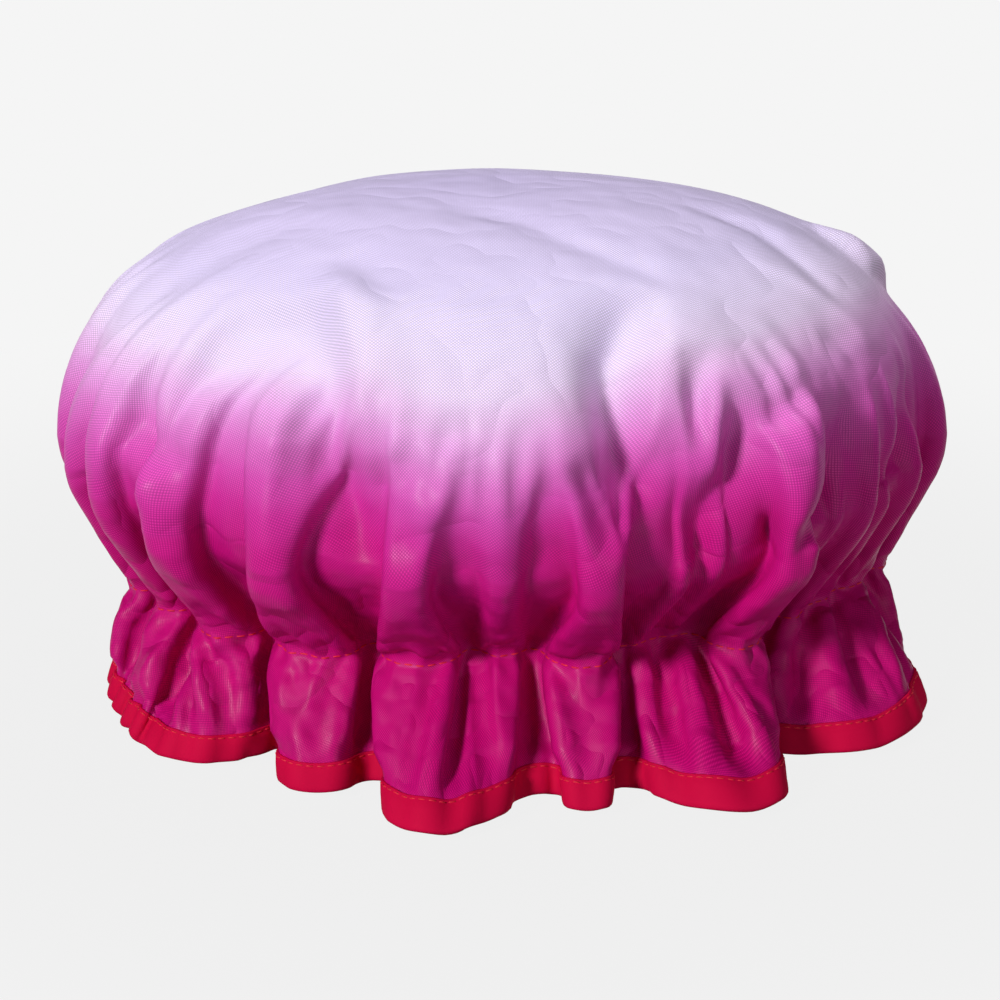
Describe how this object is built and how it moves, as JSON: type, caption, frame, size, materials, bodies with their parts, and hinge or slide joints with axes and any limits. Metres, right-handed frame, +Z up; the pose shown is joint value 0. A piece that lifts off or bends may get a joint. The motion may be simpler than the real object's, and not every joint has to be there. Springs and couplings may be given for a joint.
{
  "type": "shower cap",
  "caption": "Puffed fabric shower cap: a round of cloth and a waterproof lining gathered on an elastic band, with a frilled ruffle and a bound hem.",
  "frame": {"origin": "on the table under the middle of the cap, which stands on its bound hem", "axes": "+X to the right of a viewer who faces the brow, +Y from the brow to the nape, +Z up through the crown"},
  "size_m": [0.2676, 0.2192, 0.15],
  "materials": {
    "printed_cloth": "fine plain-woven polyester with a satin sheen, shaded from lavender at the crown to magenta",
    "lining_film": "translucent white waterproof film with fine crinkles",
    "binding_tape": "matte red woven bias tape",
    "elastic": "white ribbed flat elastic",
    "sewing_thread": "red twisted polyester thread"
  },
  "bodies": {
    "root": {"outer_cloth": "printed_cloth", "waterproof_lining": "lining_film", "hem_binding": "binding_tape", "elastic_band": "elastic", "elastic_needle_thread": "sewing_thread", "elastic_bobbin_thread": "sewing_thread", "elastic_join_tack": "sewing_thread", "binding_needle_thread": "sewing_thread", "binding_bobbin_thread": "sewing_thread", "binding_join_tack": "sewing_thread"}
  },
  "joints": []
}
